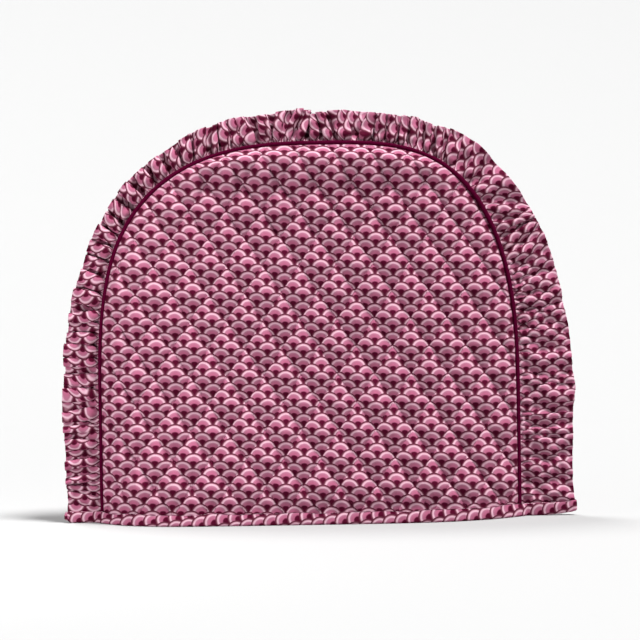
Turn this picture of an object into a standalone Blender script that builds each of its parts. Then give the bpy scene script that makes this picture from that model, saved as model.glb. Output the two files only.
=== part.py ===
"""A quilted tea cosy that stands open on its hem.

Two padded cotton panels are cut to one domed outline and sewn together along it. A gathered frill
stands out of that seam, a covered cord lies in front of the frill, and a bias strip binds the whole
lower edge, frill ends included. X runs across the cosy, the front faces -Y, and Z is up from the
surface that the hem stands on. All sizes are in metres.
"""

import math

import bmesh
import bpy
import numpy as np

# The domed outline, along the seam
PANEL_X = -0.0064
HALF_WIDTH = 0.1460
LEG_HEIGHT = 0.081
CROWN_HEIGHT = 0.2632
DOME_EXPONENT = 2.95
CROWN_SHIFT = 0.0106
SHIFT_POWER = 6.3
OUTLINE_POINTS = 81
SEAM_STEPS = 1600
NORMAL_STEP = 0.001

# The panels
BULGE = 0.034
TAPER = 0.35
CLOTH_THICK = 0.0030
EDGE_MIDDLE = 0.00265
PUFF_HEIGHT = 0.0022
EDGE_FADE = 0.012
CREASE_DEPTH = 0.0035
CREASE_HEIGHT = 0.243
CREASE_SAG = 0.013
CREASE_REACH = 0.100
CREASE_FADE = 0.050
CREASE_SPREAD = 0.0085

# The quilting, rows of diamonds stitched through the padding
DIAMOND_WIDTH = 0.0254
DIAMOND_HEIGHT = 0.0381
QUILT_ORIGIN = {"front": (-0.0053, 0.1406), "back": (0.0020, 0.1400)}
CELLS_PER_DIAMOND = 4
PUFF_START = 0.0102
PUFF_FULL = 0.0190

# The frill, by share of the seam from the right end of the hem to the left one
FRILL_THICK = 0.0014
FRILL_ALLOWANCE = 0.005
FOLD_COUNT = 68
COLUMNS_PER_FOLD = 4
FOLD_SEED = 7
FOLD_UNEVENNESS = 0.30
FINE_WAVE = 0.0029
BROAD_WAVE = 0.0019
BROAD_DRIFT = 1.9
DRIFT_RATE = 0.71
EDGE_WANDER = 0.0011
WANDER_FOLDS = 5.3
FLAT_END = 0.012
FRILL_TABLE = (
    # share, width, lean in degrees
    (0.00, 0.0390, 0.0),
    (0.03, 0.0390, 0.0),
    (0.10, 0.0380, 3.0),
    (0.20, 0.0350, 8.0),
    (0.28, 0.0300, 12.0),
    (0.36, 0.0260, 25.0),
    (0.45, 0.0250, 32.0),
    (0.55, 0.0250, 32.0),
    (0.64, 0.0220, 38.0),
    (0.70, 0.0220, 38.0),
    (0.77, 0.0230, 33.0),
    (0.85, 0.0270, 22.0),
    (0.93, 0.0270, 10.0),
    (0.97, 0.0255, 0.0),
    (1.00, 0.0255, 0.0),
)
FRILL_ROWS = (
    # share of the width, share of the fine wave, share of the broad wave
    (0.28, 0.75, 0.30),
    (0.62, 1.00, 0.70),
    (1.00, 0.80, 1.25),
)

# The piping and the hem binding
PIPING_RADIUS = 0.0017
PIPING_POINTS = 62
BINDING_HEIGHT = 0.009
BINDING_WALL = 0.0010
BINDING_FLOOR = 0.0012
BINDING_STEP = 0.010
HEM_RISE = 0.0100
TIP_LENGTH = 0.0035
TAIL_NECK = 0.005
TAIL_SWELL = 0.0003

GAP = 0.0003
CUTTER_REACH = 0.08
WELD_REACH = 0.000002

COTTONS = {
    # piece: red, green, blue, roughness
    "front_panel": (0.42, 0.12, 0.20, 0.85),
    "back_panel": (0.42, 0.12, 0.20, 0.85),
    "frill": (0.40, 0.11, 0.19, 0.85),
    "piping": (0.10, 0.004, 0.028, 0.80),
    "hem_binding": (0.42, 0.12, 0.20, 0.85),
}


def smooth_step(value):
    """Rises from 0 to 1 with level ends."""
    value = np.clip(value, 0.0, 1.0)
    return value * value * (3.0 - 2.0 * value)


def dome_share(z):
    """Height over the straight legs, 0 at their top and 1 at the crown."""
    return np.clip((z - LEG_HEIGHT) / (CROWN_HEIGHT - LEG_HEIGHT), 0.0, None)


def outline_level(x, z):
    """0 along the middle of the legs and 1 on the seam, a superellipse above the legs."""
    rise = dome_share(z)
    middle = PANEL_X + CROWN_SHIFT * np.minimum(rise, 1.0) ** SHIFT_POWER
    return np.abs((x - middle) / HALF_WIDTH) ** DOME_EXPONENT + rise**DOME_EXPONENT


def crease(x, z):
    """Depth of the soft trough that hangs across the front under the crown."""
    along = np.abs(x - PANEL_X)
    floor = CREASE_HEIGHT + CREASE_SAG * ((along / CREASE_REACH) ** 2 - 1.0)
    length = smooth_step((CREASE_REACH - along) / CREASE_FADE)
    return CREASE_DEPTH * length * np.exp(-(((z - floor) / CREASE_SPREAD) ** 2))


def panel_middle(x, z, side):
    """Distance of a panel's middle layer from the seam's plane: it stands upright in the binding."""
    lean_back = 1.0 - TAPER * np.clip(z - HEM_RISE, 0.0, None) / CROWN_HEIGHT
    middle = EDGE_MIDDLE + BULGE * (1.0 - outline_level(x, z)) * lean_back
    return middle - crease(x, z) if side == "front" else middle


def puff(x, z, side):
    """Share of the padding's height, 1 in the middle of a diamond and 0 on its stitch lines."""
    start_x, start_z = QUILT_ORIGIN[side]
    across = (x - PANEL_X - start_x) / DIAMOND_WIDTH
    up = (z - start_z) / DIAMOND_HEIGHT
    rising = 2.0 * ((across - up) % 1.0) - 1.0
    falling = 2.0 * ((across + up) % 1.0) - 1.0
    return (1.0 - rising**2) * (1.0 - falling**2)


def panel_outside(x, z, side):
    """Distance of a panel's outer face from the seam's plane, padding included."""
    inward = (1.0 - outline_level(x, z)) * HALF_WIDTH / DOME_EXPONENT
    edge = smooth_step(inward / EDGE_FADE)
    hem = smooth_step((z - PUFF_START) / (PUFF_FULL - PUFF_START))
    return panel_middle(x, z, side) + CLOTH_THICK / 2 + PUFF_HEIGHT * puff(x, z, side) * edge * hem


def panel_inside(x, z, side):
    """Distance of a panel's inner face from the seam's plane."""
    return panel_middle(x, z, side) - CLOTH_THICK / 2


def seam_line(foot):
    """The seam from the right leg over the crown to the left leg, with distances along it."""
    angles = np.linspace(0.0, math.pi, SEAM_STEPS + 1)
    power = 2.0 / DOME_EXPONENT
    rise = np.abs(np.sin(angles)) ** power
    across = np.sign(np.cos(angles)) * np.abs(np.cos(angles)) ** power
    x = PANEL_X + HALF_WIDTH * across + CROWN_SHIFT * rise**SHIFT_POWER
    z = LEG_HEIGHT + (CROWN_HEIGHT - LEG_HEIGHT) * rise
    x = np.concatenate([[x[0]], x, [x[-1]]])
    z = np.concatenate([[foot], z, [foot]])
    along = np.concatenate([[0.0], np.cumsum(np.hypot(np.diff(x), np.diff(z)))])
    return x, z, along


def seam_at(shares, foot):
    """Points and outward normals of the seam at the given shares of its length."""
    x, z, along = seam_line(foot)
    distance = np.asarray(shares) * along[-1]
    points = [np.interp(distance, along, axis) for axis in (x, z)]
    ahead = [np.interp(np.minimum(distance + NORMAL_STEP, along[-1]), along, axis) for axis in (x, z)]
    behind = [np.interp(np.maximum(distance - NORMAL_STEP, 0.0), along, axis) for axis in (x, z)]
    run_x, run_z = ahead[0] - behind[0], ahead[1] - behind[1]
    length = np.hypot(run_x, run_z)
    return np.stack(points, 1), np.stack([run_z / length, -run_x / length], 1)


def add_object(name, data, collection):
    """Links a new object."""
    made = bpy.data.objects.new(name, data)
    collection.objects.link(made)
    return made


def add_cotton(piece):
    """Gives a piece its own plain cotton."""
    red, green, blue, roughness = COTTONS[piece.name]
    material = bpy.data.materials.new(piece.name + "_cotton")
    material.use_nodes = True
    surface = material.node_tree.nodes["Principled BSDF"]
    surface.inputs["Base Color"].default_value = (red, green, blue, 1.0)
    surface.inputs["Roughness"].default_value = roughness
    piece.data.materials.append(material)


def hide_helper(helper):
    """Marks a cutter, which is no piece of the cosy."""
    helper.hide_render = True
    helper.display_type = "WIRE"
    return helper


def mesh_from(bm, name):
    """Turns a closed bmesh into a mesh with its faces pointing out."""
    bmesh.ops.remove_doubles(bm, verts=bm.verts, dist=WELD_REACH)
    bmesh.ops.recalc_face_normals(bm, faces=bm.faces)
    mesh = bpy.data.meshes.new(name)
    bm.to_mesh(mesh)
    bm.free()
    return mesh


def flat_prism(name, outline, low, high, collection, upright):
    """A closed outline made solid: between two heights, or two depths where it is upright."""
    curve = bpy.data.curves.new(name, "CURVE")
    curve.dimensions = "2D"
    curve.fill_mode = "BOTH"
    curve.extrude = (high - low) / 2
    spline = curve.splines.new("POLY")
    spline.points.add(len(outline) - 1)
    for point, (across, up) in zip(spline.points, outline):
        point.co = (across, up, 0.0, 1.0)
    spline.use_cyclic_u = True
    drawn = add_object(name + "_outline", curve, collection)
    middle = (high + low) / 2
    drawn.location = (0.0, middle, 0.0) if upright else (0.0, 0.0, middle)
    drawn.rotation_euler = (math.pi / 2 if upright else 0.0, 0.0, 0.0)
    bpy.context.view_layer.update()
    evaluated = drawn.evaluated_get(bpy.context.evaluated_depsgraph_get())
    bm = bmesh.new()
    bm.from_mesh(bpy.data.meshes.new_from_object(evaluated))
    bm.transform(drawn.matrix_world)
    bpy.data.objects.remove(drawn)
    return add_object(name, mesh_from(bm, name), collection)


def boolean(target, operation, other):
    """Cuts the target with another solid, or joins that to it."""
    modifier = target.modifiers.new(operation.lower() + "_" + other.name, "BOOLEAN")
    modifier.operation = operation
    modifier.object = other
    modifier.solver = "EXACT"


def split_squares(bm, place):
    """Splits each square of the grid from corner to corner, along the stitch line that crosses it."""
    for face in list(bm.faces):
        corners = sorted(face.verts, key=lambda vert: (place[vert][1], place[vert][0]))
        column, row = place[corners[0]]
        falling = (column + row + 1) % CELLS_PER_DIAMOND == 0
        pair = (corners[1], corners[2]) if falling else (corners[0], corners[3])
        bmesh.utils.face_split(face, *pair)


def quilted_block(name, side, surface, coarseness, collection):
    """A block whose one face is the panel's surface, on a grid that follows the diamonds."""
    facing = -1.0 if side == "front" else 1.0
    start_x, start_z = QUILT_ORIGIN[side]
    width = DIAMOND_WIDTH / CELLS_PER_DIAMOND * coarseness
    height = DIAMOND_HEIGHT / CELLS_PER_DIAMOND * coarseness
    first_column = math.floor((-HALF_WIDTH - start_x) / width) - 1
    last_column = math.ceil((HALF_WIDTH - start_x) / width) + 1
    first_row = math.floor(-start_z / height) - 1
    last_row = math.ceil((CROWN_HEIGHT - start_z) / height) + 1
    columns, rows = last_column - first_column, last_row - first_row
    bm = bmesh.new()
    bmesh.ops.create_grid(bm, x_segments=columns, y_segments=rows, size=0.5)
    place = {}
    for vert in bm.verts:
        column = first_column + round((vert.co.x + 0.5) * columns)
        row = first_row + round((vert.co.y + 0.5) * rows)
        place[vert] = (column, row)
        x, z = PANEL_X + start_x + column * width, start_z + row * height
        vert.co = (x, facing * surface(x, z, side), z)
    split_squares(bm, place)
    rim = [edge for edge in bm.edges if edge.is_boundary]
    walls = bmesh.ops.extrude_edge_only(bm, edges=rim)["geom"]
    for vert in walls:
        if isinstance(vert, bmesh.types.BMVert):
            vert.co.y = -facing * CUTTER_REACH
    back = [edge for edge in walls if isinstance(edge, bmesh.types.BMEdge) and edge.is_boundary]
    bmesh.ops.contextual_create(bm, geom=back)
    return hide_helper(add_object(name, mesh_from(bm, name), collection))


def panel_outline(inset):
    """The panel's cut edge, a little inside the seam, and its straight foot in the binding."""
    shares = np.linspace(0.0, 1.0, OUTLINE_POINTS)
    points, outward = seam_at(shares, BINDING_FLOOR + GAP)
    return points - outward * inset


def make_panel(side, inset, pieces, cutters):
    """One quilted panel: a domed blank between its puffed outer face and its plain inner face."""
    name = side + "_panel"
    reach = (-CUTTER_REACH / 2, 0.0) if side == "front" else (0.0, CUTTER_REACH / 2)
    panel = flat_prism(name, panel_outline(inset), *reach, pieces, upright=True)
    outer = quilted_block(side + "_puffed_face", side, panel_outside, 1, cutters)
    inner = quilted_block(side + "_inner_room", side, panel_inside, 2, cutters)
    boolean(panel, "INTERSECT", outer)
    boolean(panel, "DIFFERENCE", inner)
    add_cotton(panel)


def fold_phases():
    """The frill's folds: a phase in turns and a share of the seam for every column of points."""
    chance = np.random.default_rng(FOLD_SEED)
    widths = 1.0 + FOLD_UNEVENNESS * chance.uniform(-1.0, 1.0, FOLD_COUNT)
    ends = np.concatenate([[0.0], np.cumsum(widths)]) / widths.sum()
    phases = np.arange(FOLD_COUNT * COLUMNS_PER_FOLD + 1) / COLUMNS_PER_FOLD
    return phases, np.interp(phases, np.arange(FOLD_COUNT + 1), ends)


def frill_rows(phases, shares):
    """Rows of points over the frill: two flat ones in the seam, then those on its folds."""
    points, outward = seam_at(shares, BINDING_FLOOR + GAP)
    length = seam_line(BINDING_FLOOR + GAP)[2][-1]
    table = np.array(FRILL_TABLE)
    from_end = np.minimum(shares, 1.0 - shares) * length
    loose = smooth_step((from_end - FLAT_END) / FLAT_END)
    width = np.interp(shares, table[:, 0], table[:, 1])
    width = width + EDGE_WANDER * loose * np.sin(2 * math.pi * phases / WANDER_FOLDS)
    lean = np.radians(np.interp(shares, table[:, 0], table[:, 2]))
    fine = np.sin(2 * math.pi * phases)
    broad = np.sin(math.pi * phases + BROAD_DRIFT * np.sin(phases * DRIFT_RATE))
    flat = np.zeros_like(shares)
    rows = [points_off_seam(points, outward, flat - FRILL_ALLOWANCE, flat, flat)]
    rows.append(points_off_seam(points, outward, flat, flat, flat))
    for share, fine_part, broad_part in FRILL_ROWS:
        lift = loose * (fine_part * FINE_WAVE * fine + broad_part * BROAD_WAVE * broad)
        rows.append(points_off_seam(points, outward, share * width, lift, lean))
    return rows


def points_off_seam(points, outward, reach, lift, lean):
    """Points at a reach out from the seam and a lift off that plane, both turned back by the lean."""
    out = reach * np.cos(lean) - lift * np.sin(lean)
    back = reach * np.sin(lean) + lift * np.cos(lean)
    flat = points + outward * out[:, None]
    return np.stack([flat[:, 0], back, flat[:, 1]], 1)


def make_frill(pieces):
    """The gathered strip: flat in the seam, folded to and fro outside it, and flat at its two ends."""
    phases, shares = fold_phases()
    rows = frill_rows(phases, shares)
    bm = bmesh.new()
    bmesh.ops.create_grid(bm, x_segments=len(shares) - 1, y_segments=len(rows) - 1, size=0.5)
    for vert, place in zip(bm.verts, np.concatenate(rows)):
        vert.co = place
    mesh = bpy.data.meshes.new("frill")
    bm.to_mesh(mesh)
    bm.free()
    frill = add_object("frill", mesh, pieces)
    cloth = frill.modifiers.new("cloth", "SOLIDIFY")
    cloth.thickness = FRILL_THICK
    cloth.offset = 0.0
    cloth.use_even_offset = False
    add_cotton(frill)


def make_piping(pieces):
    """The covered cord that lies on the frill's root, from the binding over the crown and back."""
    foot = BINDING_HEIGHT + GAP
    points = seam_at(np.linspace(0.0, 1.0, PIPING_POINTS), foot)[0]
    curve = bpy.data.curves.new("piping", "CURVE")
    curve.dimensions = "3D"
    curve.bevel_depth = PIPING_RADIUS
    curve.bevel_resolution = 2
    curve.use_fill_caps = True
    spline = curve.splines.new("POLY")
    spline.points.add(len(points) - 1)
    depth = -(FRILL_THICK / 2 + GAP + PIPING_RADIUS)
    for point, (x, z) in zip(spline.points, points):
        point.co = (x, depth, z, 1.0)
    add_cotton(add_object("piping", curve, pieces))


def hem_columns(low, high):
    """Evenly spaced places across the hem."""
    return np.linspace(low, high, round((high - low) / BINDING_STEP))


def hem_layer(x, offset):
    """The panels' middle layer at the hem, moved outwards by the offset."""
    return panel_middle(np.asarray(x), 0.0, "back") + offset


def binding_half_depth(x):
    """Half the binding's depth: round the panels first, then down to a narrow tail on the frill."""
    beyond = np.abs(x - PANEL_X) - HALF_WIDTH
    nearest = np.clip(x, PANEL_X - HALF_WIDTH, PANEL_X + HALF_WIDTH)
    ring = hem_layer(nearest, CLOTH_THICK / 2 + GAP + BINDING_WALL)
    swell = TAIL_SWELL * (1.0 - beyond / FRILL_TABLE[0][1])
    tail = FRILL_THICK / 2 + GAP + BINDING_WALL + swell
    return tail + (ring - tail) * (1.0 - smooth_step(beyond / TAIL_NECK))


def between(x, near, far):
    """A closed outline between two edges that run along x."""
    return np.concatenate([np.stack([x, near], 1), np.stack([x, far], 1)[::-1]])


def slot_cutter(name, x, near, far, cutters, floor=BINDING_FLOOR):
    """A cutter from the floor up through the binding's top."""
    outline = between(x, near, far)
    return hide_helper(flat_prism(name, outline, floor, BINDING_HEIGHT + TIP_LENGTH, cutters, upright=False))


def make_panel_cutters(cutters):
    """The hollow inside the binding, and the slot that each panel's edge stands in."""
    reach = HALF_WIDTH - 2 * TIP_LENGTH
    room_x = hem_columns(PANEL_X - reach, PANEL_X + reach)
    room = hem_layer(room_x, -(CLOTH_THICK / 2 + GAP + BINDING_WALL))
    made = [slot_cutter("hem_room", room_x, -room, room, cutters, floor=-BINDING_HEIGHT)]
    slot_x = hem_columns(PANEL_X - HALF_WIDTH, PANEL_X + HALF_WIDTH)
    inner, outer = (hem_layer(slot_x, way * (CLOTH_THICK / 2 + GAP)) for way in (-1.0, 1.0))
    made.append(slot_cutter("front_slot", slot_x, -outer, -inner, cutters))
    made.append(slot_cutter("back_slot", slot_x, inner, outer, cutters))
    return made


def make_tail_cutters(end, facing, outside, cutters):
    """The slot for one end of the frill, and the one where both panels' edges come together."""
    seam = PANEL_X + facing * HALF_WIDTH
    root = seam - facing * (FRILL_ALLOWANCE + GAP)
    frill_half = np.full(2, FRILL_THICK / 2 + GAP)
    tip_half = np.full(2, hem_layer(seam, CLOTH_THICK / 2 + GAP))
    frill_x = np.sort([root, outside])
    tip_x = np.sort([seam, seam - facing * TIP_LENGTH])
    return [
        slot_cutter(end + "_frill_slot", frill_x, -frill_half, frill_half, cutters),
        slot_cutter(end + "_tip_slot", tip_x, -tip_half, tip_half, cutters),
    ]


def make_binding(pieces, cutters):
    """The bias strip round the lower edge: a ring with tails, slotted for the panels and the frill."""
    left = PANEL_X - HALF_WIDTH - FRILL_TABLE[-1][1] - GAP
    right = PANEL_X + HALF_WIDTH + FRILL_TABLE[0][1] + GAP
    neck = np.linspace(HALF_WIDTH + TAIL_NECK, HALF_WIDTH, 4)[:-1]
    ring_x = hem_columns(PANEL_X - HALF_WIDTH, PANEL_X + HALF_WIDTH)
    tail_ends = ([left - BINDING_WALL], [right + BINDING_WALL])
    x = np.concatenate([tail_ends[0], PANEL_X - neck, ring_x, PANEL_X + neck[::-1], tail_ends[1]])
    half_depth = binding_half_depth(x)
    outline = between(x, -half_depth, half_depth)
    binding = flat_prism("hem_binding", outline, 0.0, BINDING_HEIGHT, pieces, upright=False)
    cuts = make_panel_cutters(cutters)
    cuts += make_tail_cutters("left", -1.0, left, cutters)
    cuts += make_tail_cutters("right", 1.0, right, cutters)
    for cutter in cuts:
        boolean(binding, "DIFFERENCE", cutter)
    add_cotton(binding)


def main():
    for old in list(bpy.data.objects):
        bpy.data.objects.remove(old, do_unlink=True)
    pieces = bpy.data.collections.new("tea_cosy")
    cutters = bpy.data.collections.new("cutters")
    for collection in (pieces, cutters):
        bpy.context.scene.collection.children.link(collection)
    make_panel("front", PIPING_RADIUS + GAP, pieces, cutters)
    make_panel("back", 2 * GAP, pieces, cutters)
    make_frill(pieces)
    make_piping(pieces)
    make_binding(pieces, cutters)


main()
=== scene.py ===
"""The looks of a quilted tea cosy: printed cotton panels, a gathered frill, plum piping, a bias binding."""

import math

import bpy
import numpy as np
from mathutils import Matrix, Vector


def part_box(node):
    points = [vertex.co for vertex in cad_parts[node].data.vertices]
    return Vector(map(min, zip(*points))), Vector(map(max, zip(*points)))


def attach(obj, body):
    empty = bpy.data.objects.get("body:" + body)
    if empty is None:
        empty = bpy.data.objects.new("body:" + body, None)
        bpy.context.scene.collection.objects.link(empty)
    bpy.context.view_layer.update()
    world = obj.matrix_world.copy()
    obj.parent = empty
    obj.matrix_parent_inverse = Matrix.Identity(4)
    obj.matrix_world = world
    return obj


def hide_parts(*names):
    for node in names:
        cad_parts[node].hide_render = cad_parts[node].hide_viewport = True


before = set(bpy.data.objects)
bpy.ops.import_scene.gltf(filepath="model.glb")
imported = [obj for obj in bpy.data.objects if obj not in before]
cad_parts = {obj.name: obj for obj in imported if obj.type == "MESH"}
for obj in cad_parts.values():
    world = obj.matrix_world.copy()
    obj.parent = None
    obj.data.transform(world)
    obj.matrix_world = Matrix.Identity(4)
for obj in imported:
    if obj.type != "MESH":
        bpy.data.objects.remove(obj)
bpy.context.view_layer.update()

# The domed outline, along the seam, as the solids have it
PANEL_X = -0.0064
HALF_WIDTH = 0.1460
LEG_HEIGHT = 0.081
CROWN_HEIGHT = 0.2632
DOME_EXPONENT = 2.95
CROWN_SHIFT = 0.0106
SHIFT_POWER = 6.3
SEAM_STEPS = 1600
NORMAL_STEP = 0.001

# The panels: a bulging cloth sandwich with padded diamonds
BULGE = 0.034
TAPER = 0.35
CLOTH_THICK = 0.0030
EDGE_MIDDLE = 0.00265
HEM_RISE = 0.0100
FIELD_FLATNESS = (6.3, 4.2)
FIELD_SAG = 0.0082
SAG_RISE = 0.14
SAG_POWER = 1.2
TROUGH_POWER = 0.3
TROUGH_HEIGHT = 0.196
TROUGH_WALL = 0.050
TROUGH_SWEEP = 0.007
TROUGH_MIDDLE = 0.008
TROUGH_REACH = 0.152
TROUGH_FADE = 0.053
CREASE_HEIGHT = 0.2310
CREASE_SPREAD = 0.0075
CREASE_DIP = 0.0022
WRINKLE_SPAN = (0.198, 0.229)
WRINKLE_PITCH = 0.0088
WRINKLE_DEPTH = 0.0007
WRINKLE_FADE = (0.012, 0.006)
WRINKLE_BEND = ((0.9, 0.0130, 0.0), (1.3, 0.0310, 1.0))
PULL_DEPTH = 0.0008
PULL_PITCH = 0.00105
PULL_REACH = 0.009
PULL_RADIUS = 0.15
PULL_CENTRE = 0.10
LUMP_SIZE = 0.00045
SIDE_TURN = {"front": 0.0, "back": 1.7}
PULL_TURN = {"front": 0.4, "back": 2.6}
BROW_HEIGHT = 0.2505
BROW_SPREAD = 0.0110
BROW_SWELL = 0.0063
BROW_START = 0.12
DIAMOND_WIDTH = 0.0254
DIAMOND_HEIGHT = 0.0381
QUILT_ORIGIN = {"front": (-0.0053, 0.1406), "back": (0.0020, 0.1400)}
PUFF_HEIGHT = 0.0060
PUFF_RIDGE = 7.0
PUFF_POWER = 1.15
PUFF_ROUND = 0.07
RISING_DEPTH = (0.95, 0.85)
TUCK = 0.0013
TUCK_SHARE = 0.055
GROOVE_SHARE = 0.075
GROOVE_DEPTH = 0.0007
GROOVE_RISING = 0.65
SLOPE_STEP = 0.0002
ROLL_STEP = 0.0008
ROLL_STEPS = 30
ROLL_SLOPE = 0.5
ROLL_MOST = 4.0
ROLL_SIDEWAYS = 0.35
EDGE_FADE = 0.0070
EDGE_ROLL = 0.0045
EDGE_DROP = 0.0026
PUFF_START = 0.0100
PUFF_FULL = 0.0200
PANEL_FOOT = 0.0016
PANEL_COLUMNS = 244
LEG_ROWS = 62
DOME_ROWS = 136

# The quilting thread
STITCH_PITCH = 0.0032
STITCH_LENGTH = 0.0024
THREAD_RADIUS = 0.00016
THREAD_LINES = 14
THREAD_STEPS = 70
STITCH_SPREAD = 0.00015
THREAD_SEED = 11
STITCH_EDGE_LEVEL = 0.955
STITCH_FOOT = 0.0094

# The frill, by share of the seam from the right end of the hem to the left one
FRILL_HALF = 0.00055
ROOT_HALF = 0.00120
ROOT_SPAN = (0.01, 0.08)
FRILL_FOOT = 0.0042
FOLDS = 66
FOLD_COLUMNS = 16
FOLD_SEED = 7
FOLD_UNEVENNESS = 0.40
WIDER_RIGHT = (0.30, 0.40)
FLAT_START = 0.002
FLAT_END = 0.008
SLANT_FOLDS = 2.4
STEADY_LEFT = (0.70, 0.80, 0.6)
EDGE_WAVE = 0.0009
EDGE_WAVE_FOLDS = 3.9
OPEN_BY = 0.30
CLOSE_FROM = 0.55
CLOSE_SHARE = 0.22
TURN_DRIFT = 2.8
WAXING = 0.36
CRUMPLE_FINE = 0.9
CRUMPLE_DEPTH = (0.00090, 0.00040)
CRUMPLE_TURN = (0.22, 0.34)
PLEATS_A_FOLD = 3.0
FOLD_CHANGES = {
    # a random seed, and the lowest and highest value
    "depth": (21, 0.62, 1.42),
    "overhang": (22, 0.55, 1.40),
    "skew": (23, -0.0012, 0.0016),
    "slant": (24, -0.38, 0.38),
    "edge": (25, 0.2, 1.4),
    "turn": (26, -1.0, 1.0),
    "pleats": (27, 0.3, 1.7),
    "pleat_reach": (28, 0.24, 0.70),
}
FRILL_ROWS = 27
INNER_ROWS = (-0.14, -0.02)
MEASURED_ROW = 0.6
EDGE_TURN = (22.0, 45.0, 66.0, 82.0)
FRILL_TABLE = (
    # Not all chosen by hand: a program rescaled its columns
    # share, width, lean in degrees, fold depth, overhang, broad wave, root pleats
    (0.000, 0.0390, 0.0, 0.0004, 0.0000, 0.0002, 0.0002),
    (0.033, 0.0374, 0.0, 0.0013, 0.0004, 0.0010, 0.0011),
    (0.061, 0.0378, 1.0, 0.0013, 0.0004, 0.0013, 0.0011),
    (0.095, 0.0382, 3.0, 0.0011, 0.0003, 0.0014, 0.0011),
    (0.120, 0.0410, 4.0, 0.0010, 0.0003, 0.0014, 0.0011),
    (0.149, 0.0377, 5.0, 0.0010, 0.0003, 0.0014, 0.0011),
    (0.176, 0.0374, 7.0, 0.0010, 0.0003, 0.0014, 0.0011),
    (0.204, 0.0355, 8.0, 0.0010, 0.0004, 0.0014, 0.0011),
    (0.244, 0.0332, 10.0, 0.0011, 0.0005, 0.0014, 0.0011),
    (0.273, 0.0300, 8.5, 0.0019, 0.0007, 0.0014, 0.0009),
    (0.320, 0.0282, 9.9, 0.0020, 0.0009, 0.0014, 0.0007),
    (0.356, 0.0246, 10.7, 0.0024, 0.0012, 0.0014, 0.0006),
    (0.380, 0.0222, 10.7, 0.0029, 0.0018, 0.0014, 0.0006),
    (0.395, 0.0239, 10.8, 0.0030, 0.0021, 0.0014, 0.0006),
    (0.408, 0.0215, 10.9, 0.0031, 0.0023, 0.0014, 0.0006),
    (0.440, 0.0219, 11.0, 0.0034, 0.0025, 0.0014, 0.0006),
    (0.460, 0.0227, 11.1, 0.0034, 0.0026, 0.0014, 0.0006),
    (0.489, 0.0211, 11.1, 0.0034, 0.0026, 0.0014, 0.0006),
    (0.517, 0.0232, 11.1, 0.0034, 0.0026, 0.0014, 0.0006),
    (0.559, 0.0218, 11.1, 0.0034, 0.0026, 0.0014, 0.0006),
    (0.590, 0.0216, 11.3, 0.0034, 0.0026, 0.0014, 0.0006),
    (0.630, 0.0184, 11.4, 0.0032, 0.0026, 0.0014, 0.0006),
    (0.665, 0.0173, 11.4, 0.0032, 0.0026, 0.0013, 0.0006),
    (0.702, 0.0185, 11.4, 0.0032, 0.0026, 0.0013, 0.0006),
    (0.718, 0.0175, 11.4, 0.0032, 0.0026, 0.0013, 0.0006),
    (0.760, 0.0203, 11.2, 0.0034, 0.0026, 0.0014, 0.0006),
    (0.787, 0.0224, 11.0, 0.0034, 0.0026, 0.0014, 0.0006),
    (0.840, 0.0259, 10.6, 0.0034, 0.0026, 0.0014, 0.0006),
    (0.900, 0.0271, 8.5, 0.0032, 0.0023, 0.0014, 0.0006),
    (0.960, 0.0250, 2.0, 0.0029, 0.0016, 0.0012, 0.0005),
    (1.000, 0.0242, 0.0, 0.0004, 0.0000, 0.0002, 0.0002),
)

# The piping and the hem binding
PIPING_RADIUS = 0.0020
PIPING_THINNER = (0.22, 0.22)
PIPING_TIP = 0.35
PIPING_WAVES = ((0.035, 0.0031, 0.0), (0.03, 0.0117, 1.0))
PIPING_DEPTH = 0.0029
PIPING_FOOT = 0.0070
PIPING_RINGS = 620
PIPING_SIDES = 14
BINDING_HEIGHT = 0.0082
BINDING_TILT = 0.0035
BINDING_WALL = 0.0010
BINDING_FLOOR = 0.0012
BINDING_GAP = 0.0003
BINDING_ROUND = 0.0016
BINDING_BULGE = 0.00035
BINDING_WAVES = ((0.00034, 0.0083, 0.0), (0.00030, 0.0047, 2.0))
PUCKER_WAVES = ((0.00016, 0.00135, 0.0), (0.00012, 0.0021, 1.0))
PUCKER_SLANT = 1.1
BINDING_STEP = 0.0016
TAIL_NECK = 0.005
TAIL_HALF = 0.00185
TAIL_OFFSET = 0.00015
CORNER_RADIUS = (0.0030, 0.0011)
CORNER_START = 0.0002
BINDING_LEAN = 0.0016
TAIL_RISE = 0.0024
TAIL_RUN = 0.026
BIAS_ANGLE = 48.0
BIAS_STRETCH = 1.06
BIAS_PULL = 0.4
BINDING_PRINT = (-0.0733, 0.0030)

# The printed scallops, in metres of cloth
SCALLOP_PITCH = 0.0125
SCALLOP_ROW = 0.00488
SCALLOP_RADIUS = 0.00656
SCALLOP_STOPS = (
    # place from the scallop's centre to its rim, and colour
    (0.30, (153, 80, 108)),
    (0.42, (150, 84, 108)),
    (0.59, (151, 95, 117)),
    (0.655, (184, 140, 156)),
    (0.735, (193, 156, 169)),
    (0.795, (176, 134, 148)),
    (0.862, (114, 60, 77)),
    (0.925, (79, 30, 46)),
    (1.00, (72, 24, 41)),
)
EYE_COLOR = (66, 0, 28)
EYE_WIDTH = 0.00215
EYE_HEIGHT = 0.00143
EYE_FADE = (0.66, 1.26)
SMUDGE = 0.00035
WEAVE_PITCH = 0.00042
WEAVE_DEPTH = 0.00002
COVER_PITCH = 0.00045
PLUM_DYE = (68, 0, 32)
THREAD_DYE = (104, 34, 62)

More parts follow.
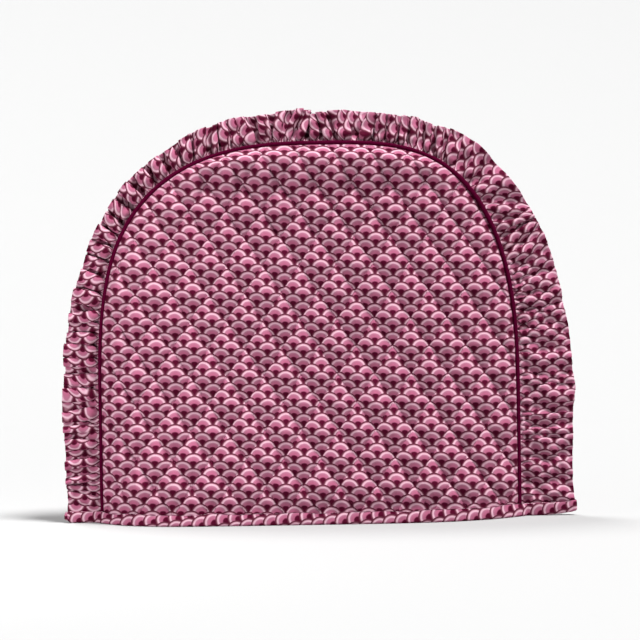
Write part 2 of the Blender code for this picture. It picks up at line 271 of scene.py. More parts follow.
# Metres of print per tenth of a metre across and up the panel, by powers of the two. The front's start and
# the drift are a program's least-squares fit, rounded, and not values chosen by hand.
PRINT_START = {"front": (-0.0153, 0.1341), "back": (0.0030, 0.1410)}
PRINT_DRIFT = (
    {(0, 1): -0.0008, (0, 2): -0.0005, (0, 3): -0.0003, (1, 0): 0.1009, (1, 1): -0.0020,
     (1, 2): -0.0034, (2, 0): 0.0008, (2, 1): 0.0005, (3, 0): -0.0016},
    {(0, 1): 0.1012, (0, 2): -0.0014, (0, 3): -0.0014, (1, 0): 0.0046, (1, 1): 0.0005,
     (1, 2): 0.0003, (2, 0): -0.0004, (2, 1): -0.0013, (3, 0): -0.0006},
)

# The camera and the room
CAMERA_DISTANCE = 1.8
CAMERA_ELEVATION = 1.68
CAMERA_ROLL = -0.93
CAMERA_TARGET = (0.0020, 0.0, 0.1395)
METRES_PER_PIXEL = 0.0007
PICTURE_PIXELS = 640
STAGE_HALF = 6.2
STAGE_STEPS = 80
STAGE_CROWDING = 0.65
SWEEP_START = 0.5
SWEEP_RADIUS = 10.0
FLOOR_COLOR = (0.330, 0.330, 0.330, 1.0)
WORLD_STRENGTH = 0.10
LIGHT_TARGET = (0.0, 0.0, 0.12)
LIGHTS = (
    # name, kind, place, strength, size
    ("key", "SUN", (0.95, -0.76, 2.95), 7.00, 16.0),
    ("shoulder", "AREA", (-0.45, -0.27, 0.10), 1.25, 0.20),
    ("back", "SUN", (-0.80, 1.00, 3.00), 2.4, 20.0),
)


def smooth_step(value):
    """Rises from 0 to 1 as 3 v squared less 2 v cubed, with level ends."""
    value = np.clip(value, 0.0, 1.0)
    return value * value * (3.0 - 2.0 * value)


def step_between(value, start, end):
    """The smooth step of a value's way from start to end."""
    return smooth_step((value - start) / (end - start))


def running_sum(steps):
    """The sum of the steps so far, from 0 to all of them."""
    return np.concatenate([[0.0], np.cumsum(steps)])


def unit(vectors):
    """The vectors at a length of one."""
    return vectors / np.linalg.norm(vectors, axis=-1, keepdims=True)


def waves(place, table):
    """A sum of sines: each row's size times the sine of the place over its length plus its start."""
    return sum(size * np.sin(place / length + start) for size, length, start in table)


def dome_share(z):
    """Height over the straight legs, 0 at their top and 1 at the crown."""
    return np.clip((z - LEG_HEIGHT) / (CROWN_HEIGHT - LEG_HEIGHT), 0.0, None)


def outline_level(x, z):
    """|across / half width| to the exponent plus rise to the exponent: 0 in the middle, 1 on the seam."""
    rise = dome_share(z)
    middle = PANEL_X + CROWN_SHIFT * np.minimum(rise, 1.0) ** SHIFT_POWER
    return np.abs((x - middle) / HALF_WIDTH) ** DOME_EXPONENT + rise**DOME_EXPONENT


def trough_length(x):
    """1 over the middle of the panel, falling to 0 towards both shoulders."""
    return smooth_step((TROUGH_REACH - np.abs(x - TROUGH_MIDDLE)) / TROUGH_FADE)


def panel_middle(x, z, side):
    """Edge depth plus a flat-topped bulge, less a sag over the field. On the front the sag ends in a soft
    trough under the crown, with a bell-shaped crease along it and a bell-shaped brow over the crease. All
    three run along a shallow parabola and die out towards the shoulders."""
    level = outline_level(x, z)
    left_over = np.clip(1.0 - dome_share(z) ** DOME_EXPONENT, 1e-6, 1.0)
    flatness = np.where(x < PANEL_X, *FIELD_FLATNESS) / DOME_EXPONENT
    width_share = np.clip(1.0 - (1.0 - level) / left_over, 0.0, 1.0) ** flatness
    lean_back = 1.0 - TAPER * np.clip(z - HEM_RISE, 0.0, None) / CROWN_HEIGHT
    middle = EDGE_MIDDLE + BULGE * left_over * (1.0 - width_share) * lean_back
    inner = np.clip(1.0 - level, 0.0, 1.0)
    sag = FIELD_SAG * smooth_step(z / SAG_RISE)
    if side == "back":
        return middle - sag * inner**SAG_POWER
    height = z - TROUGH_SWEEP * ((x - TROUGH_MIDDLE) / TROUGH_REACH) ** 2
    length = trough_length(x)
    held = 1.0 - smooth_step((height - TROUGH_HEIGHT) / TROUGH_WALL)
    sag = sag * (length * held * inner**TROUGH_POWER + (1.0 - length) * inner**SAG_POWER)
    brow = BROW_SWELL * length * np.exp(-(((height - BROW_HEIGHT) / BROW_SPREAD) ** 2))
    crease = CREASE_DIP * length * np.exp(-(((height - CREASE_HEIGHT) / CREASE_SPREAD) ** 2))
    return middle - sag + (brow - crease) * smooth_step(inner / BROW_START)


def stitch_places(x, z, side):
    """A point's place in whole diamonds across the rising stitch lines and across the falling ones."""
    start_x, start_z = QUILT_ORIGIN[side]
    across = (x - PANEL_X - start_x) / DIAMOND_WIDTH
    up = (z - start_z) / DIAMOND_HEIGHT
    return across - up, across + up


def stitch_phases(x, z, side):
    """How far a point is between two rising stitch lines, and between two falling ones, from 0 to 1."""
    return [place % 1.0 for place in stitch_places(x, z, side)]


def puff(x, z, side):
    """A tent with rounded ridges: 1 - m^n, where m is a high-power mean of |r| and |f|, which run from 0
    in a diamond's middle to 1 on its rising and falling stitch lines. The rising lines sink less, the
    more so towards the right."""
    rising, falling = (np.abs(2.0 * line - 1.0) for line in stitch_phases(x, z, side))
    depth = np.interp(x, (PANEL_X - HALF_WIDTH, PANEL_X), RISING_DEPTH)
    mean = ((depth * rising) ** PUFF_RIDGE + falling**PUFF_RIDGE) ** (1.0 / PUFF_RIDGE)
    mean = np.minimum(np.sqrt(mean**2 + PUFF_ROUND**2) / math.sqrt(1.0 + PUFF_ROUND**2), 1.0)
    return 1.0 - mean**PUFF_POWER


def wrinkles(x, z, side):
    """Short level wrinkles under the front's crease: a sine of the height, bent and broken along x and
    faded at its lowest and highest."""
    if side == "back":
        return np.zeros_like(x)
    height = z - TROUGH_SWEEP * ((x - TROUGH_MIDDLE) / TROUGH_REACH) ** 2
    low, high = WRINKLE_SPAN
    fade_in, fade_out = WRINKLE_FADE
    window = smooth_step((height - low) / fade_in) * smooth_step((high - height) / fade_out)
    broken = 0.55 + 0.45 * np.sin(x / 0.0085 + 2.0 * np.sin(x / 0.027))
    line = np.sin(2 * math.pi * height / WRINKLE_PITCH + waves(x, WRINKLE_BEND))
    return WRINKLE_DEPTH * window * trough_length(x) * broken * line


def pulls(x, z, side):
    """Small pulls square to the seam: a sine of the angle round the panel, dying away inwards."""
    angle = np.arctan2(z - PULL_CENTRE, x - PANEL_X) * PULL_RADIUS
    turn = PULL_TURN[side]
    strength = 0.6 + 0.4 * np.sin(angle / 0.019 + turn)
    wave = np.sin(angle / PULL_PITCH + 2.2 * np.sin(angle / 0.013 + turn))
    return PULL_DEPTH * strength * wave * np.exp(-np.clip(inward(x, z), 0.0, None) / PULL_REACH)


def unevenness(x, z, side):
    """Wrinkles and pulls, plus three slow waves for padding that isn't the same all over: one of lumps, as a
    sine across times a sine up, and two that run slanting."""
    turn = SIDE_TURN[side]
    lumps = LUMP_SIZE * np.sin(x / 0.031 + 0.8 + turn) * np.sin(z / 0.027 + turn)
    slanting = waves(x + z, ((0.00025, 0.0145, turn),)) + waves(x - 0.6 * z, ((0.00018, 0.0098, 2.1),))
    return wrinkles(x, z, side) + pulls(x, z, side) + lumps + slanting


def inward(x, z):
    """Distance in from the seam: one less the level, times half width over exponent."""
    return (1.0 - outline_level(x, z)) * HALF_WIDTH / DOME_EXPONENT


def quilt_outside(x, z, side):
    """Middle layer plus half the thickness plus the puffs, rolled down over a quarter ellipse at the seam."""
    edge = inward(x, z)
    padding = PUFF_HEIGHT * puff(x, z, side) + unevenness(x, z, side)
    padding = padding * smooth_step(edge / EDGE_FADE)
    padding = padding * step_between(z, PUFF_START, PUFF_FULL)
    roll = 1.0 - np.clip(edge / EDGE_ROLL, 0.0, 1.0)
    drop = EDGE_DROP * (1.0 - np.sqrt(1.0 - roll**2))
    return panel_middle(x, z, side) + CLOTH_THICK / 2 + padding - drop


def seam_line(foot):
    """The superellipse from the right leg over the crown to the left leg, with distances along it."""
    angles = np.linspace(0.0, math.pi, SEAM_STEPS + 1)
    power = 2.0 / DOME_EXPONENT
    rise = np.abs(np.sin(angles)) ** power
    across = np.sign(np.cos(angles)) * np.abs(np.cos(angles)) ** power
    x = PANEL_X + HALF_WIDTH * across + CROWN_SHIFT * rise**SHIFT_POWER
    z = LEG_HEIGHT + (CROWN_HEIGHT - LEG_HEIGHT) * rise
    x = np.concatenate([[x[0]], x, [x[-1]]])
    z = np.concatenate([[foot], z, [foot]])
    along = running_sum(np.hypot(np.diff(x), np.diff(z)))
    return x, z, along


def seam_at(shares, foot):
    """Points (n, 2), outward normals (n, 2) and distances of the seam at shares of its length."""
    x, z, along = seam_line(foot)
    distance = np.asarray(shares) * along[-1]
    points = [np.interp(distance, along, axis) for axis in (x, z)]
    ahead = [np.interp(np.minimum(distance + NORMAL_STEP, along[-1]), along, axis) for axis in (x, z)]
    behind = [np.interp(np.maximum(distance - NORMAL_STEP, 0.0), along, axis) for axis in (x, z)]
    run_x, run_z = ahead[0] - behind[0], ahead[1] - behind[1]
    length = np.hypot(run_x, run_z)
    return np.stack(points, 1), np.stack([run_z / length, -run_x / length], 1), distance


def grid_quads(rows, columns, wrap_rows=False, wrap_columns=False):
    """Corner numbers of a grid's quads: once into its points, once into its unwrapped cloth places."""
    row_count = rows if wrap_rows else rows - 1
    column_count = columns if wrap_columns else columns - 1
    row, column = np.meshgrid(np.arange(row_count), np.arange(column_count), indexing="ij")
    around = [(row, column), (row, column + 1), (row + 1, column + 1), (row + 1, column)]
    points = np.stack([(r % rows) * columns + c % columns for r, c in around], -1).reshape(-1, 4)
    wide = columns + (1 if wrap_columns else 0)
    cloth = np.stack([r * wide + c for r, c in around], -1).reshape(-1, 4)
    return points, cloth


def put_quads(name, points, faces, material):
    """Makes a smooth object of quads from whole arrays."""
    mesh = bpy.data.meshes.new(name)
    mesh.vertices.add(len(points))
    mesh.vertices.foreach_set("co", points.astype(np.float32).ravel())
    mesh.loops.add(faces.size)
    mesh.loops.foreach_set("vertex_index", faces.astype(np.int32).ravel())
    mesh.polygons.add(len(faces))
    mesh.polygons.foreach_set("loop_start", np.arange(0, faces.size, 4, dtype=np.int32))
    mesh.update(calc_edges=True)
    mesh.shade_smooth()
    mesh.materials.append(material)
    made = bpy.data.objects.new(name, mesh)
    bpy.context.scene.collection.objects.link(made)
    return made


def put_mesh(name, points, faces, material, cloth=None, cloth_faces=None, lines=None):
    """Makes a piece turned to face out, with its cloth places in a UV map, and a second map for its stitch
    lines."""
    points = np.asarray(points, float).reshape(-1, 3)
    if cloth_faces is None:
        cloth_faces = faces
    corner = points[faces]
    first = np.cross(corner[:, 1] - corner[:, 0], corner[:, 2] - corner[:, 0])
    second = np.cross(corner[:, 2] - corner[:, 0], corner[:, 3] - corner[:, 0])
    if np.sum(corner[:, 0] * (first + second)) < 0.0:
        faces, cloth_faces = faces[:, ::-1], cloth_faces[:, ::-1]
    made = put_quads(name, points, faces, material)
    for layer_name, values in (("cloth", cloth), ("stitch_lines", lines)):
        if values is not None:
            layer = made.data.uv_layers.new(name=layer_name)
            places = np.asarray(values, float).reshape(-1, 2)[cloth_faces.ravel()]
            layer.data.foreach_set("uv", places.astype(np.float32).ravel())
    return made


def closed_sheet(front, back):
    """The points of two like grids, and the quads that join them back to back and round their rim."""
    rows, columns = front.shape[:2]
    quads = grid_quads(rows, columns)[0]
    number = np.arange(rows * columns).reshape(rows, columns)
    rim = np.concatenate([number[0, :-1], number[:-1, -1], number[-1, :0:-1], number[:0:-1, 0]])
    ahead = np.roll(rim, -1)
    far = rows * columns
    walls = np.stack([ahead, rim, rim + far, ahead + far], 1)
    points = np.concatenate([front.reshape(-1, 3), back.reshape(-1, 3)])
    return points, np.concatenate([quads, quads[:, ::-1] + far, walls])


def surface_normals(grid):
    """Unit cross products of a grid's two differences."""
    return unit(np.cross(np.gradient(grid, axis=1), np.gradient(grid, axis=0)))


def dome_grid():
    """Rows and columns over the domed outline: a square pushed out to a superellipse, over straight legs."""
    across = np.linspace(-1.0, 1.0, PANEL_COLUMNS + 1)
    up = np.linspace(0.0, 1.0, DOME_ROWS + 1)[1:]
    a, b = np.meshgrid(across, up)
    level = (np.abs(a) ** DOME_EXPONENT + b**DOME_EXPONENT) ** (1.0 / DOME_EXPONENT)
    size = np.maximum(np.abs(a), b) / level
    leg_z = np.linspace(PANEL_FOOT, LEG_HEIGHT, LEG_ROWS + 1)
    dome_x = PANEL_X + HALF_WIDTH * a * size + CROWN_SHIFT * (b * size) ** SHIFT_POWER
    dome_z = LEG_HEIGHT + (CROWN_HEIGHT - LEG_HEIGHT) * b * size
    leg_x = np.broadcast_to(PANEL_X + HALF_WIDTH * across, (LEG_ROWS + 1, PANEL_COLUMNS + 1))
    leg_rows = np.broadcast_to(leg_z[:, None], leg_x.shape)
    return np.concatenate([leg_x, dome_x]), np.concatenate([leg_rows, dome_z])


def rolled_over(x, z, side):
    """The print's shift where the cloth turns down steeply to the seam: outward by the sum, over short steps
    inwards, of the extra length root(1 + slope squared) over a gentle slope's, and by less of it sideways.
    Nothing changes on the field."""
    run_x = outline_level(x + SLOPE_STEP, z) - outline_level(x - SLOPE_STEP, z)
    run_z = outline_level(x, z + SLOPE_STEP) - outline_level(x, z - SLOPE_STEP)
    length = np.maximum(np.hypot(run_x, run_z), 1e-9)
    out_x, out_z = run_x / length, run_z / length
    gentle = math.hypot(1.0, ROLL_SLOPE)
    extra = np.zeros_like(x)
    for step in range(ROLL_STEPS):
        back = ROLL_STEP * (step + 0.5)
        far = panel_middle(x - out_x * (back - SLOPE_STEP), z - out_z * (back - SLOPE_STEP), side)
        near = panel_middle(x - out_x * (back + SLOPE_STEP), z - out_z * (back + SLOPE_STEP), side)
        slope = (far - near) / (2 * SLOPE_STEP)
        extra = extra + ROLL_STEP * np.clip(np.hypot(1.0, slope) - gentle, 0.0, ROLL_MOST)
    return np.stack([ROLL_SIDEWAYS * extra * out_x, extra * out_z], -1)


def tucked(x, z, side):
    """The print's shift where each stitch line hides a little cloth in its groove: a sawtooth across the
    lines, falling evenly from one line to the next and rising back as a smooth step over the line."""
    shifts = []
    for phase in stitch_phases(x, z, side):
        near = (phase + 0.5) % 1.0 - 0.5
        shifts.append(smooth_step(near / (2 * TUCK_SHARE) + 0.5) - 0.5 - near)
    run = math.hypot(DIAMOND_WIDTH, DIAMOND_HEIGHT)
    across, up = TUCK * DIAMOND_HEIGHT / run, TUCK * DIAMOND_WIDTH / run
    rising, falling = shifts
    return np.stack([across * (rising + falling), up * (falling - rising)], -1)


def print_places(x, z, side):
    """Where the panel's cloth was on the printed length: a cubic in its place, as the rows tilt and bow."""
    across, up = (x - PANEL_X) / 0.1, (z - 0.14) / 0.1
    places = []
    for start, table in zip(PRINT_START[side], PRINT_DRIFT):
        value = np.full(x.shape, start)
        for (power_x, power_z), share in table.items():
            value = value + share * across**power_x * up**power_z
        places.append(value)
    return np.stack(places, -1) + tucked(x, z, side) + rolled_over(x, z, side)


def make_quilt(side, material):
    """One quilted panel as a closed sheet: puffed outside, plain inside."""
    facing = -1.0 if side == "front" else 1.0
    x, z = dome_grid()
    outside = np.stack([x, facing * quilt_outside(x, z, side), z], -1)
    inside = np.stack([x, facing * (panel_middle(x, z, side) - CLOTH_THICK / 2), z], -1)
    points, faces = closed_sheet(outside, inside)
    cloth = np.concatenate([print_places(x, z, side).reshape(-1, 2)] * 2)
    lines = np.concatenate([np.stack(stitch_places(x, z, side), -1).reshape(-1, 2)] * 2)
    return put_mesh(side + "_quilt", points, faces, material, cloth, lines=lines)


def repeat_shape(template, quads, centres, along, side_way, up):
    """Copies of one small shape: centre plus its three coordinates times three directions, as one array."""
    points = (
        centres[:, None, :]
        + template[None, :, 0:1] * along[:, None, :]
        + template[None, :, 1:2] * side_way[:, None, :]
        + template[None, :, 2:3] * up[:, None, :]
    )
    faces = quads[None] + (np.arange(len(centres)) * len(template))[:, None, None]
    return points.reshape(-1, 3), faces.reshape(-1, 4)


def stitch_shape():
    """A short thread of four sides that dives into the cloth at both ends: rings along a low arch."""
    half = STITCH_LENGTH / 2
    along = np.array([-1.0, -0.62, 0.62, 1.0]) * half
    lift = np.array([-1.2, 0.55, 0.55, -1.2]) * THREAD_RADIUS
    size = np.array([0.55, 1.0, 1.0, 0.55]) * THREAD_RADIUS
    turn = np.radians([45.0, 135.0, 225.0, 315.0])
    rings = np.stack(
        [
            np.broadcast_to(along[:, None], (4, 4)),
            size[:, None] * np.cos(turn)[None],
            lift[:, None] + size[:, None] * np.sin(turn)[None],
        ],
        -1,
    )
    quads = grid_quads(4, 4, wrap_columns=True)[0]
    caps = np.array([[3, 2, 1, 0], [12, 13, 14, 15]])
    return rings.reshape(-1, 3), np.concatenate([quads, caps])


def make_quilting(side, material):
    """The thread of both families of stitch lines, laid on the panel's outer face."""
    facing = -1.0 if side == "front" else 1.0
    start_x, start_z = QUILT_ORIGIN[side]
    length = math.hypot(DIAMOND_WIDTH, DIAMOND_HEIGHT)
    lines = np.arange(-THREAD_LINES, THREAD_LINES + 1)
    steps = np.arange(-THREAD_STEPS, THREAD_STEPS + 1) * STITCH_PITCH
    line, step = (grid.ravel() for grid in np.meshgrid(lines, steps, indexing="ij"))
    chance = np.random.default_rng(THREAD_SEED)
    found = []
    for way in (1.0, -1.0):
        offset = chance.uniform(0.0, STITCH_PITCH, len(lines))[line + THREAD_LINES]
        run = step + offset + chance.normal(0.0, STITCH_SPREAD, len(step))
        x = PANEL_X + start_x + DIAMOND_WIDTH * line + way * run * DIAMOND_WIDTH / length
        z = start_z + run * DIAMOND_HEIGHT / length
        keep = (outline_level(x, z) < STITCH_EDGE_LEVEL) & (z > STITCH_FOOT)
        found.append((x[keep], z[keep], np.full(keep.sum(), way)))
    x, z, way = (np.concatenate(part) for part in zip(*found))

    def on_cloth(x, z):
        return np.stack([x, facing * quilt_outside(x, z, side), z], -1)

    run_x = way * DIAMOND_WIDTH / length * STITCH_LENGTH / 4
    run_z = DIAMOND_HEIGHT / length * STITCH_LENGTH / 4
    along = unit(on_cloth(x + run_x, z + run_z) - on_cloth(x - run_x, z - run_z))
    side_way = unit(np.cross([0.0, facing, 0.0], along))
    up = np.cross(along, side_way)
    points, faces = repeat_shape(*stitch_shape(), on_cloth(x, z), along, side_way, up)
    return put_mesh(side + "_quilting", points, faces, material)


def fold_places():
    """A phase in folds for every column, and its share of the seam: folds wider at the right end."""
    chance = np.random.default_rng(FOLD_SEED)
    middle = (np.arange(FOLDS) + 0.5) / FOLDS
    wider, until = WIDER_RIGHT
    widths = 1.0 + wider * (1.0 - smooth_step(middle / until))
    widths = widths * (1.0 + FOLD_UNEVENNESS * chance.uniform(-1.0, 1.0, FOLDS))
    ends = running_sum(widths) / widths.sum()
    phase = np.arange(FOLDS * FOLD_COLUMNS + 1) / FOLD_COLUMNS
    return phase, np.interp(phase, np.arange(FOLDS + 1), ends)


def wander(phase, change):
    """A smooth random course of one of the folds' changes: one number a fold, joined by smooth steps."""
    seed, low, high = FOLD_CHANGES[change]
    values = np.random.default_rng(seed).uniform(low, high, FOLDS + 2)
    whole = np.floor(phase).astype(int)
    blend = smooth_step(phase - whole)
    return values[whole] * (1.0 - blend) + values[whole + 1] * blend


def root_pleats(phase, turn, row):
    """Three fine pleats a fold at the seam, as a size and a turn to take the sine of. Their size and how far
    out they reach change from fold to fold."""
    out = np.clip(row, 0.0, None)
    size = wander(phase, "pleats") * smooth_step(row / 0.10)
    size = size * (1.0 - smooth_step(out / wander(phase, "pleat_reach")))
    return size, PLEATS_A_FOLD * turn + 1.5 * np.sin(1.3 * phase) + 2.0 * out


def crumples(phase, share, out):
    """Small creases that cross the folds: three sines of the phase and the way out, the finest one broken
    up by a fourth. They are deeper at the right end of the seam."""
    right, left = CRUMPLE_DEPTH
    depth = right + (left - right) * step_between(share, *CRUMPLE_TURN)
    fine = np.sin(phase * 11.9 + 3.0 * np.sin(4.3 * out + phase) + 8.0 * out)
    broken = fine * np.sin(17.0 * out + 2.6 * np.sin(2.9 * phase))
    first = np.sin(phase * 4.1 + 9.0 * out + 0.6)
    second = 0.7 * np.sin(phase * 7.3 - 14.0 * out)
    return depth * (first + second + CRUMPLE_FINE * broken)


def frill_middle(phase, share, rows):
    """The strip's middle layer. Each row leaves the seam by its reach and leans back. A fold swings to and
    fro as depth times sin(2 pi phase), its depth waxing and waning on the way out, and hangs over sideways as
    overhang times sin(4 pi phase). A wave of two folds grows towards the edge, the strip slants along the
    seam one way and the other, and pleats at the root and small creases cross it."""
    points, outward, distance = seam_at(share, FRILL_FOOT)
    table = np.array(FRILL_TABLE).T
    width, lean, depth, overhang, broad, pleat = (np.interp(share, table[0], column) for column in table[1:])
    lean = np.radians(lean)
    from_end = np.minimum(distance, distance[-1] - distance)
    loose = smooth_step((from_end - FLAT_START) / FLAT_END)
    depth = depth * wander(phase, "depth") * loose
    overhang = overhang * wander(phase, "overhang") * loose
    skew = wander(phase, "skew") * loose
    steady_start, steady_end, steadier = STEADY_LEFT
    steady = step_between(share, steady_start, steady_end)
    slant = wander(phase / SLANT_FOLDS, "slant") * loose * (1.0 - steadier * steady)
    edge = np.sin(2 * math.pi * phase / EDGE_WAVE_FOLDS + 1.0) * wander(phase / 3.0, "edge")
    width = width + EDGE_WAVE * loose * edge
    row = rows[:, None]
    out = np.clip(row, 0.0, None)
    late = out**1.3
    turn = 2 * math.pi * phase + TURN_DRIFT * out * wander(phase / 1.4, "turn")
    closing = step_between(out, CLOSE_FROM, 1.0)
    open_up = smooth_step(out / OPEN_BY) * (1.0 - CLOSE_SHARE * closing)
    pleat_size, pleat_turn = root_pleats(phase, turn, row)
    pleat_size = pleat_size * pleat * loose
    waxing = 1.0 + WAXING * np.sin(6.5 * out + 2.3 * np.sin(0.83 * phase) + phase)
    swing = (
        depth * waxing * open_up * np.sin(turn)
        + broad * loose * late * np.sin(turn / 2 + 1.9 * np.sin(0.71 * phase))
        + pleat_size * np.sin(pleat_turn + 1.1)
        + crumples(phase, share, out) * loose * open_up
    )
    sideways = (
        -overhang * open_up * np.sin(2.0 * turn)
        - skew * open_up * np.cos(turn)
        + slant * width * out**1.5
        + pleat_size * 0.8 * np.cos(PLEATS_A_FOLD * turn)
    )
    reach = row * width + 0.00012 * loose * late * np.sin(2.0 * turn + 1.4)
    level_out = reach * np.cos(lean) - 0.35 * swing * np.sin(lean)
    back = reach * np.sin(lean) + swing
    x = points[:, 0] + outward[:, 0] * level_out - outward[:, 1] * sideways
    z = points[:, 1] + outward[:, 1] * level_out + outward[:, 0] * sideways
    return np.stack([x, back, z], -1), width


def make_frill(material):
    """The gathered strip, folded double: its middle layer moved out both ways by half its thickness, which is
    more at the root, and round its outer edge. Its print is measured along one row's folds."""
    phase, share = fold_places()
    rows = np.concatenate([INNER_ROWS, np.linspace(0.0, 1.0, FRILL_ROWS)])
    middle, width = frill_middle(phase, share, rows)
    normal = surface_normals(middle)
    edge_way = unit(middle[-1] - middle[-2])
    turn = np.radians(EDGE_TURN)[:, None, None]
    thinner = step_between(rows, *ROOT_SPAN)[:, None, None]
    half = ROOT_HALF + (FRILL_HALF - ROOT_HALF) * thinner
    faces_out = []
    for way in (1.0, -1.0):
        flat = middle + way * half * normal
        rolled = middle[-1] + FRILL_HALF * (np.sin(turn) * edge_way + way * np.cos(turn) * normal[-1])
        faces_out.append(np.concatenate([flat, rolled]))
    points, faces = closed_sheet(*faces_out)
    measured = middle[np.argmin(np.abs(rows - MEASURED_ROW))]
    along = running_sum(np.linalg.norm(np.diff(measured, axis=0), axis=1))
    reach = np.concatenate([rows, np.full(len(EDGE_TURN), 1.0)])[:, None] * width[None]
    cloth = np.stack([reach, np.broadcast_to(along, reach.shape)], -1)
    cloth = np.concatenate([cloth.reshape(-1, 2)] * 2)
    return put_mesh("gathered_frill", points, faces, material, cloth), along[-1]


def make_piping(material):
    """The covered cord: a ring of sides carried along the seam. Its radius wavers a little, and is less over
    the crown and down the legs, where it is pulled deeper into the seam."""
    share = np.linspace(0.0, 1.0, PIPING_RINGS)
    points, outward, distance = seam_at(share, PIPING_FOOT)
    turn = np.linspace(0.0, 2 * math.pi, PIPING_SIDES, endpoint=False)
    crown, leg = PIPING_THINNER
    radius = PIPING_RADIUS * (1.0 + waves(distance, PIPING_WAVES))
    radius = radius * (1.0 - crown * outward[:, 1] ** 2 - leg * outward[:, 0] ** 4)
    radius[[0, -1]] *= PIPING_TIP
    out = radius[:, None] * np.cos(turn)
    ahead = radius[:, None] * np.sin(turn)
    x = points[:, :1] + outward[:, :1] * out
    z = points[:, 1:] + outward[:, 1:] * out
    grid = np.stack([x, -PIPING_DEPTH - ahead, z], -1)
    faces, cloth_faces = grid_quads(PIPING_RINGS, PIPING_SIDES, wrap_columns=True)
    around = np.arange(PIPING_SIDES + 1) / PIPING_SIDES * 2 * math.pi * PIPING_RADIUS
    cloth = np.stack(np.meshgrid(distance, around, indexing="ij"), -1)
    caps = []
    for start, order in ((0, 1), ((PIPING_RINGS - 1) * PIPING_SIDES, -1)):
        for first in range(start + 1, start + PIPING_SIDES - 2, 2):
            caps.append([start, first, first + 1, first + 2][::order])
    faces = np.concatenate([faces, caps])
    cloth_faces = np.concatenate([cloth_faces, np.zeros_like(caps)])
    return put_mesh("piping_cord", grid, faces, material, cloth, cloth_faces)


def binding_path():
    """The closed line that the binding follows: along the front, round the right tail, back and round the
    left one, with its outward normals and its share of a ring's section against a tail's."""
    tail = TAIL_HALF + TAIL_OFFSET
    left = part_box("hem_binding")[0].x + tail
    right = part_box("hem_binding")[1].x - tail
    x = np.linspace(left, right, round((right - left) / BINDING_STEP))
    beyond = np.abs(x - PANEL_X) - HALF_WIDTH
    ring = 1.0 - smooth_step(beyond / TAIL_NECK)
    nearest = np.clip(x, PANEL_X - HALF_WIDTH, PANEL_X + HALF_WIDTH)
    depth = TAIL_OFFSET + (panel_middle(nearest, 0.0, "back") - TAIL_OFFSET) * ring
    turn = np.radians([-60.0, -30.0, 0.0, 30.0, 60.0])
    cap_x, cap_y = TAIL_OFFSET * np.cos(turn), TAIL_OFFSET * np.sin(turn)
    none = np.zeros(len(turn))
    path_x = np.concatenate([x, right + cap_x, x[::-1], left - cap_x])
    path_y = np.concatenate([-depth, cap_y, depth[::-1], -cap_y])
    ring = np.concatenate([ring, none, ring[::-1], none])
    slope = np.gradient(depth, x)
    length = np.hypot(1.0, slope)
    normal_x = np.concatenate([-slope / length, np.cos(turn), (-slope / length)[::-1], -np.cos(turn)])
    normal_y = np.concatenate([-1.0 / length, np.sin(turn), (1.0 / length)[::-1], -np.sin(turn)])
    return np.stack([path_x, path_y], 1), np.stack([normal_x, normal_y], 1), ring


def binding_profile(ring, height, pucker):
    """Rounds of a folded strip's section: down its outer wall, under, up its inner wall, over and back
    inside. Each is an offset from the line and a height."""
    outer = TAIL_HALF + (CLOTH_THICK / 2 + BINDING_GAP + BINDING_WALL - TAIL_HALF) * ring
    inner = 0.0001 + (CLOTH_THICK / 2 + BINDING_GAP + BINDING_WALL) * ring
    inner_wall = 0.6 * inner * (1.0 - ring) + BINDING_WALL * ring
    inner_top = BINDING_FLOOR + 0.0001 + (height - BINDING_FLOOR) * ring
    low = BINDING_ROUND
    inner_low = np.minimum(low, 0.9 * inner)
    lean = BINDING_LEAN * (0.4 + 0.6 * ring)
    rounds = []
    for share in np.linspace(0.0, 1.0, 12):
        z = height + (low - height) * share
        bulge = (BINDING_BULGE + pucker(z)) * math.sin(math.pi * min(0.12 + 0.95 * share, 1.0))
        rounds.append((outer + bulge + lean * (share - 0.5), z))
    for turn in np.radians([22.0, 45.0, 67.0, 90.0]):
        rounds.append((outer + 0.5 * lean - low + low * math.cos(turn), low * (1.0 - math.sin(turn))))
    for turn in np.radians([90.0, 55.0, 25.0, 0.0]):
        rounds.append((-inner + inner_low - inner_low * math.cos(turn), inner_low * (1.0 - math.sin(turn))))
    for share in (0.35, 0.7, 1.0):
        rounds.append((-inner, inner_low + (inner_top - inner_low) * share))
    rounds += [
        (-inner + inner_wall * 0.5, inner_top + 0.0002 * ring),
        (-inner + inner_wall, inner_top),
        (-inner + inner_wall, BINDING_FLOOR),
        (outer - BINDING_WALL, BINDING_FLOOR),
        (outer - BINDING_WALL, height - 0.0003),
        (outer - BINDING_WALL * 0.45, height + 0.00025),
    ]
    return np.stack([np.stack(np.broadcast_arrays(out, z), 1) for out, z in rounds])


